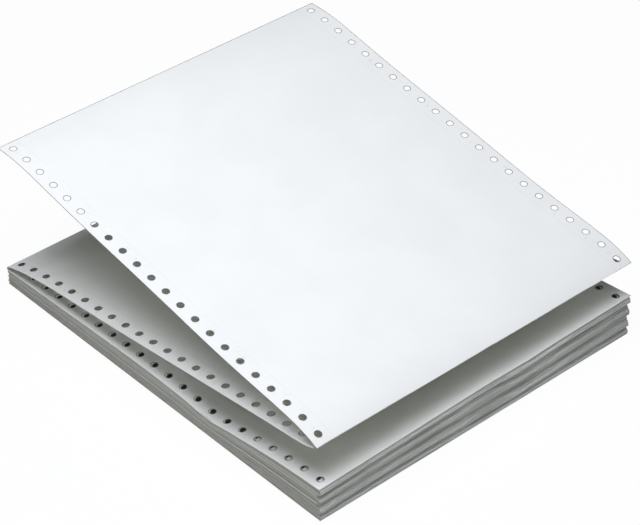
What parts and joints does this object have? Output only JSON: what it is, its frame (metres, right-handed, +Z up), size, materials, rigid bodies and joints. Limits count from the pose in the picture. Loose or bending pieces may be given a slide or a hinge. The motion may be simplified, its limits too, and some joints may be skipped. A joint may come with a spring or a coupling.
{
  "type": "fanfold continuous form paper",
  "caption": "Pile of continuous form paper, folded to and fro, with feed holes along both margins and its top two leaves lifted open.",
  "frame": {"origin": "centre of the pile's underside, on the surface that it lies on", "axes": "+X across the web, +Y from the front folds to the back folds, +Z up"},
  "size_m": [0.2414, 0.2794, 0.0991],
  "materials": {
    "paper": "matt uncoated, cool white"
  },
  "bodies": {
    "root": {"folded_web": "paper"}
  },
  "joints": []
}
